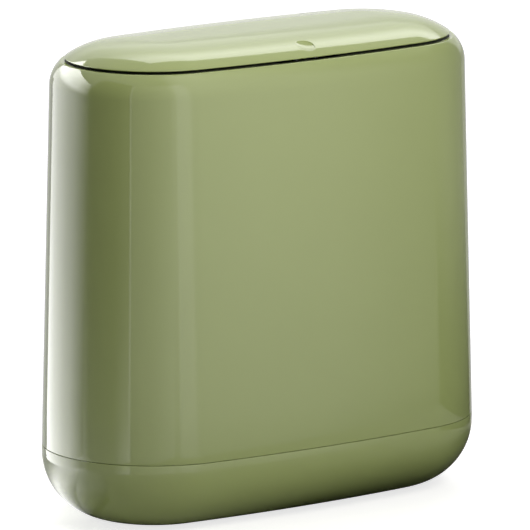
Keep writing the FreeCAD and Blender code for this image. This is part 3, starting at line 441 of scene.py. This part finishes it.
edge_radius = DISH_RADIUS + DISH_ROUND
circle_swing = np.arcsin(edge_radius * np.cos(about) / (SIDE_RADIUS - DISH_IN))
circle_run = dish_run + BROW_RADIUS * np.arcsin(edge_radius * np.sin(about) / BROW_RADIUS)
share = np.linspace(0, 1, SKIRT_STEPS + 1)[:, None]
skirt = on_lid(square[:, 0] * patch_swing * (1 - share) + circle_swing * share,
               (dish_run + square[:, 1] * PATCH_HALF) * (1 - share) + circle_run * share)
edge_depth = (dish_middle - skirt[-1]) @ dish_out
hollow = DISH_DEPTH - DISH_EDGE
hollow_radius = (DISH_RADIUS**2 + hollow**2) / (2 * hollow)
hollow_rings = [dish_ring(radius, DISH_DEPTH - hollow_radius + math.sqrt(hollow_radius**2 - radius**2))
                for radius in np.linspace(DISH_RADIUS, DISH_HUB, HOLLOW_STEPS + 1)]
rings = np.stack([
    *skirt,
    dish_ring(DISH_RADIUS + DISH_ROUND_MIDDLE, edge_depth + DISH_ROUND_MIDDLE),
    dish_ring(DISH_RADIUS, edge_depth + DISH_ROUND),
    *hollow_rings])
dish_points = rings.transpose(1, 0, 2).reshape(-1, 3)
dish_faces = quads(len(about), len(rings)).reshape(-1, 4)
dish_hub = np.array(caps(len(about), len(rings))[1])
count = len(lid_points)
lid_faces = grid[keep].tolist() + (count + dish_faces).tolist()
lid_faces += [*caps(columns, rows), (count + dish_hub).tolist()]
lid = new_piece("lid", np.concatenate([lid_points, dish_points]), lid_faces, sage_gloss)
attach(lid, "lid")
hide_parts("lid_cover")

# Under the lid: a flat liner screwed to bosses of the cover, with the hinge lugs and a groove for the soft
# seal lip, and the striker, an arrow-headed tongue below the dish that the claws of the latch take hold of.
# Matt ABS is the colour of the bin, but without its shine, as it comes from a textured mould.
matt_sage = finish("matt_abs", "#9BA96F", "#94A268", drift=40, polish=(0.5, 0.62), grain=0.5, depth=0.04,
                   IOR=1.52)
dress(matt_sage, "lid_liner")
dress(soft_rubber, "lid_seal")
# Black acetal has the same slick sheen as the white and hides the rubbing of the claws.
black_acetal = finish("black_acetal", "#2A2B27", "#31322D", drift=12, polish=(0.3, 0.42), grain=1.2,
                      depth=0.015, IOR=1.48)
dress(black_acetal, "striker")
dress(zinc_steel, "lid_screws", "striker_screws")

# Floor: a plain pale sheet that keeps the bin's soft shadow. It is topped up to white for the camera, and for
# mirrors away from the bin, with painted shade in its reflection near the bin; under the bin and to its right
# it is painted near black for all but the camera's rays, a painted shade that darkens the bowl to its foot.
FLOOR_HALF = 8000
# These distances count in half lengths and half depths of the bin, from a point that lies to the right.
SHADE_SHIFT, SHADE_FROM, SHADE_TO = 0.6, 0.95, 1.6
CLEAR_FROM, CLEAR_TO, CLEAR_GLOW = 1.3, 5, 0.6
CAMERA_GLOW = 0.75


def seen_by(tree):
    """Two sockets that are 1 for the camera's own rays, and 1 for the rays that gloss or glass sends on."""
    rays = add(tree, "ShaderNodeLightPath", {})
    sent_on = add(tree, "ShaderNodeMath",
                  {0: rays.outputs["Is Glossy Ray"], 1: rays.outputs["Is Transmission Ray"]},
                  operation="MAXIMUM")
    return rays.outputs["Is Camera Ray"], sent_on.outputs[0]


# The sheet is a pale warm grey, quite dull, with hardly any grain.
pale_floor = finish("pale_floor", "#C9C9C6", "#C4C4C1", drift=300, polish=(0.7, 0.8), grain=3, depth=0.02)
floor_tree = pale_floor.node_tree
shader = floor_tree.nodes["Principled BSDF"]
camera_ray, mirror_ray = seen_by(floor_tree)
place = add(floor_tree, "ShaderNodeTexCoord", {}).outputs["Object"]
in_ovals = add(floor_tree, "ShaderNodeVectorMath",
               {0: place, 1: (2 / (LENGTH * MM), 2 / (DEPTH * MM), 0), 2: (-SHADE_SHIFT, 0, 0)},
               operation="MULTIPLY_ADD")
span = add(floor_tree, "ShaderNodeVectorMath", {0: in_ovals.outputs["Vector"]}, operation="LENGTH")
span = span.outputs["Value"]
# Painted shade: for all rays but the camera's, the floor's colour turns near black under the bin and to its
# right.
outside_painted_shade = add(floor_tree, "ShaderNodeMapRange", {"Value": span, "From Min": SHADE_FROM, "From Max": SHADE_TO})
bare = add(floor_tree, "ShaderNodeMath", {0: outside_painted_shade.outputs["Result"], 1: camera_ray}, operation="MAXIMUM")
tint = shader.inputs["Base Color"].links[0].from_socket
floor_colour_with_painted_shade = add(floor_tree, "ShaderNodeMix", {0: bare.outputs[0], 6: linear("#12130D"), 7: tint},
             data_type="RGBA")
floor_tree.links.new(floor_colour_with_painted_shade.outputs[2], shader.inputs["Base Color"])
# Painted shade in mirrors: the floor's glow for gloss and glass rays starts only well away from the bin.
clear = add(floor_tree, "ShaderNodeMapRange",
            {"Value": span, "From Min": CLEAR_FROM, "From Max": CLEAR_TO, "To Max": CLEAR_GLOW})
shown = add(floor_tree, "ShaderNodeMath", {0: mirror_ray, 1: clear.outputs["Result"]}, operation="MULTIPLY")
topped = add(floor_tree, "ShaderNodeMath", {0: camera_ray, 1: CAMERA_GLOW, 2: shown.outputs[0]},
             operation="MULTIPLY_ADD")
shader.inputs["Emission Color"].default_value = (1, 1, 1, 1)
floor_tree.links.new(topped.outputs[0], shader.inputs["Emission Strength"])
sheet = FLOOR_HALF * np.array([(-1, -1, 0), (1, -1, 0), (1, 1, 0), (-1, 1, 0)])
new_piece("floor", sheet, [[0, 1, 2, 3]], pale_floor)

# Light: grey room light, one soft lamp close to the upper front of the bin, which gives the falloff down its
# walls, and one above the left end of the lid. The room is white to the camera and in mirrors.
# Places of lamps and cards are in metres.
ROOM_LEVEL = 0.12
world = bpy.data.worlds.new("studio")
scene.world = world
world.use_nodes = True
world_tree = world.node_tree
background = world_tree.nodes["Background"]
camera_ray, mirror_ray = seen_by(world_tree)
seen = add(world_tree, "ShaderNodeMath", {0: mirror_ray, 1: camera_ray}, operation="MAXIMUM")
room = add(world_tree, "ShaderNodeMapRange", {"Value": seen.outputs[0], "To Min": ROOM_LEVEL, "To Max": 1})
background.inputs["Color"].default_value = (1, 1, 1, 1)
world_tree.links.new(room.outputs["Result"], background.inputs["Strength"])


def lamp(name, size, energy, stand, aim):
    """Square soft lamp that stands at one point and is aimed at another; its own shape shows neither to the
    camera nor in the gloss."""
    bulb = bpy.data.lights.new(name, "AREA")
    bulb.size = size
    bulb.energy = energy
    bulb.color = linear("#FFFBF6")[:3]
    holder = bpy.data.objects.new(name, bulb)
    holder.location = stand
    holder.rotation_euler = (Vector(aim) - Vector(stand)).to_track_quat("-Z", "Y").to_euler()
    holder.visible_camera = False
    holder.visible_glossy = False
    scene.collection.objects.link(holder)


lamp("key", size=0.3, energy=2.05, stand=(0, -0.59, 0.53), aim=(0, -0.05, 0.22))
lamp("top", size=0.4, energy=1.7, stand=(-0.28, 0.1, 0.93), aim=(-0.08, 0, 0.3))

# Cards: what the gloss mirrors. Softbox cloth and dark flags stand round the bin, many of them edge to edge
# at the corners named here, each with its own glow along its length and height. They show in reflections
# only, and the one overhead also lights what lies below it.
FRONT_LEFT, FRONT_LEFT_TOP = (-0.155, -0.226, 0), (-0.27, -0.62, 0.85)
FRONT_RIGHT, FRONT_RIGHT_TOP = (0.3, -0.226, 0), (0.8, -0.62, 0.85)
LEFT, LEFT_TOP = (-0.263, -0.116, 0), (-0.66, -0.34, 0.85)
RIGHT, RIGHT_TOP = (0.3, 0.05, 0), (0.72, 0.12, 0.85)
BACK, BACK_TOP = (-0.118, 0.225, 0.001), (-0.056, 0.488, 0.665)
BACK_LEFT, BACK_LEFT_TOP = (-0.3, 0.047, 0.001), (-0.507, 0.134, 0.475)
UNDER_BOWL = (-0.128, 0.008, 0.001)
CARD_COLUMNS, CARD_ROWS = 129, 33
EVEN = [(0, 1), (1, 1)]

# Softbox cloth glows by the amount that its card holds at each point.
cloth = bpy.data.materials.new("softbox_cloth")
cloth.use_nodes = True
cloth_tree = cloth.node_tree
glow = add(cloth_tree, "ShaderNodeAttribute", {}, attribute_name="glow")
light = add(cloth_tree, "ShaderNodeEmission", {"Strength": glow.outputs["Fac"]})
cloth_tree.links.new(light.outputs[0], cloth_tree.nodes["Material Output"].inputs["Surface"])


def card(name, foot, head, along, upward=EVEN, lights=False):
    """Flat or twisted card between a foot line and a head line, each from start to stop; along and upward are
    (share, glow) pairs whose product is the glow. Only a card that lights shines on matt surfaces as well."""
    share, height = np.meshgrid(np.linspace(0, 1, CARD_COLUMNS), np.linspace(0, 1, CARD_ROWS), indexing="ij")
    foot, head = np.array(foot), np.array(head)
    low = foot[0] + share[..., None] * (foot[1] - foot[0])
    high = head[0] + share[..., None] * (head[1] - head[0])
    open_faces = quads(CARD_COLUMNS, CARD_ROWS)[:-1].reshape(-1, 4).tolist()
    piece = new_piece(name, (low + height[..., None] * (high - low)) / MM, open_faces, cloth)
    level = np.interp(share, *zip(*along)) * np.interp(height, *zip(*upward))
    layer = piece.data.attributes.new("glow", "FLOAT", "POINT")
    layer.data.foreach_set("value", level.ravel().astype(np.float32))
    piece.visible_diffuse = lights
    piece.visible_camera = False
    piece.visible_shadow = False


# The softbox before the bin gives the front wall its even sheen, with a brighter stripe at the left. Its
# canopy shows in the faces that lean back, the shoulder and the brow of the lid.
card("front_box", (FRONT_LEFT, FRONT_RIGHT), (FRONT_LEFT_TOP, FRONT_RIGHT_TOP),
     [(0, 1.75), (0.045, 1.75), (0.05, 2.4), (0.17, 2.4), (0.21, 1.8), (0.45, 1.8), (0.62, 1.6), (0.78, 1.2),
      (1, 0.7)],
     [(0, 0.6), (0.04, 0.8), (0.08, 0.92), (0.19, 1.05), (0.28, 1.12), (0.5, 1.2), (1, 1.25)])
card("front_canopy", (FRONT_LEFT_TOP, FRONT_RIGHT_TOP), ((-0.2, -0.25, 1.3), (0.7, -0.25, 1.3)),
     [(0, 1.4), (0.2, 2.3), (0.45, 2.3), (0.62, 2), (0.78, 1.4), (1, 0.9)],
     [(0, 1), (0.8, 1), (1, 0.7)])
# A dimmer board with one bright edge, then a dark flag, draw the fine upright line and the deep green band.
card("left_board", (LEFT, FRONT_LEFT), (LEFT_TOP, FRONT_LEFT_TOP),
     [(0, 1.9), (0.025, 1.9), (0.03, 0.75), (0.5, 1), (1, 1.5)],
     [(0, 1), (0.1, 1.2), (0.3, 1.05), (1, 1.2)])
card("left_flag", ((-0.3, 0.047, 0), LEFT), ((-0.72, 0.2, 0.95), LEFT_TOP),
     [(0, 0.3), (0.15, 0.12), (0.35, 0.1), (0.7, 0.1), (1, 0.3)],
     [(0, 7), (0.07, 4), (0.14, 2), (0.3, 1), (1, 2)])
# The softbox behind draws the pale band down the left end and the white patch on the shoulder. A low flag
# beside it keeps the outline, and the bright floor before it runs the band on round the bowl.
card("back_box", (BACK, BACK_LEFT), (BACK_TOP, BACK_LEFT_TOP),
     [(0, 2.2), (0.06, 3.4), (0.3, 4.2), (0.55, 4.6), (0.75, 3.8), (0.9, 2), (1, 0.8)],
     [(0, 1.4), (0.1, 1.2), (0.25, 0.95), (0.4, 0.82), (0.56, 0.9), (0.64, 2), (1, 2.2)])
card("back_flag", ((0.03, 0.25, 0), (-0.148, 0.19, 0)), ((0.06, 0.4, 0.29), (-0.128, 0.3, 0.29)),
     [(0, 0.85), (1, 0.85)])
card("back_floor", ((-0.076, 0.045, 0.001), UNDER_BOWL), (BACK, BACK_LEFT),
     [(0, 0.6), (0.25, 0.8), (0.4, 1.9), (0.5, 3.6), (0.6, 5), (0.8, 4.8), (1, 2.4)],
     [(0, 0), (0.2, 0.4), (0.4, 0.85), (1, 1.1)])
card("left_floor", (UNDER_BOWL, (-0.152, -0.028, 0.001)), (BACK_LEFT, (-0.3, -0.04, 0.001)),
     [(0, 2.4), (0.4, 1.1), (1, 0.6)],
     [(0, 0), (0.25, 1), (1, 1)])
# The softbox overhead, behind the bin, lies on the lid as a long pale sheen and lights the lid from above.
card("over_box", ((0.07, 0.25, 1.02), (0.07, 2.65, 1.02)), ((1.37, 0.25, 1.02), (1.37, 2.65, 1.02)),
     [(0, 4.2), (0.07, 4.2), (0.12, 3), (0.17, 2.2), (0.22, 1.75), (0.4, 1.35), (0.6, 1.45), (0.7, 1.2),
      (1, 1)],
     lights=True)
# Two dim flags let the right end fade and keep its outline.
card("right_flag", (FRONT_RIGHT, RIGHT), (FRONT_RIGHT_TOP, RIGHT_TOP),
     [(0, 0.9), (0.35, 0.8), (0.65, 0.5), (1, 0.4)],
     [(0, 0.1), (0.08, 0.3), (0.19, 1), (1, 1)])
card("right_back_flag", (RIGHT, (0.24, 0.3, 0)), ((0.42, 0.07, 0.29), (0.34, 0.42, 0.29)),
     [(0, 0.55), (1, 0.6)])

# Camera: far off with a long lens, a little above the bin and to its left, as the photo was taken. Its focal
# length and the shift of its picture are in pixels of that photo, its distance and aim in metres.
AZIMUTH, ELEVATION = math.radians(-36.27), math.radians(11.02)
DISTANCE, AIM_HEIGHT = 5.056, 0.15486
PHOTO_PIXELS, FOCAL_PIXELS, RIGHT_PIXELS, UP_PIXELS = 530, 7860, 6.15, -2.05
SENSOR_WIDTH = 36
lens = bpy.data.cameras.new("camera")
lens.sensor_width = SENSOR_WIDTH
lens.lens = FOCAL_PIXELS / PHOTO_PIXELS * SENSOR_WIDTH
lens.shift_x = RIGHT_PIXELS / PHOTO_PIXELS
lens.shift_y = UP_PIXELS / PHOTO_PIXELS
camera = bpy.data.objects.new("camera", lens)
away = np.array([math.sin(AZIMUTH) * math.cos(ELEVATION), -math.cos(AZIMUTH) * math.cos(ELEVATION),
                 math.sin(ELEVATION)])
camera.location = np.array([0, 0, AIM_HEIGHT]) + DISTANCE * away
camera.rotation_euler = (math.pi / 2 - ELEVATION, 0, AZIMUTH)
scene.collection.objects.link(camera)
scene.camera = camera
scene.view_settings.view_transform = "Standard"
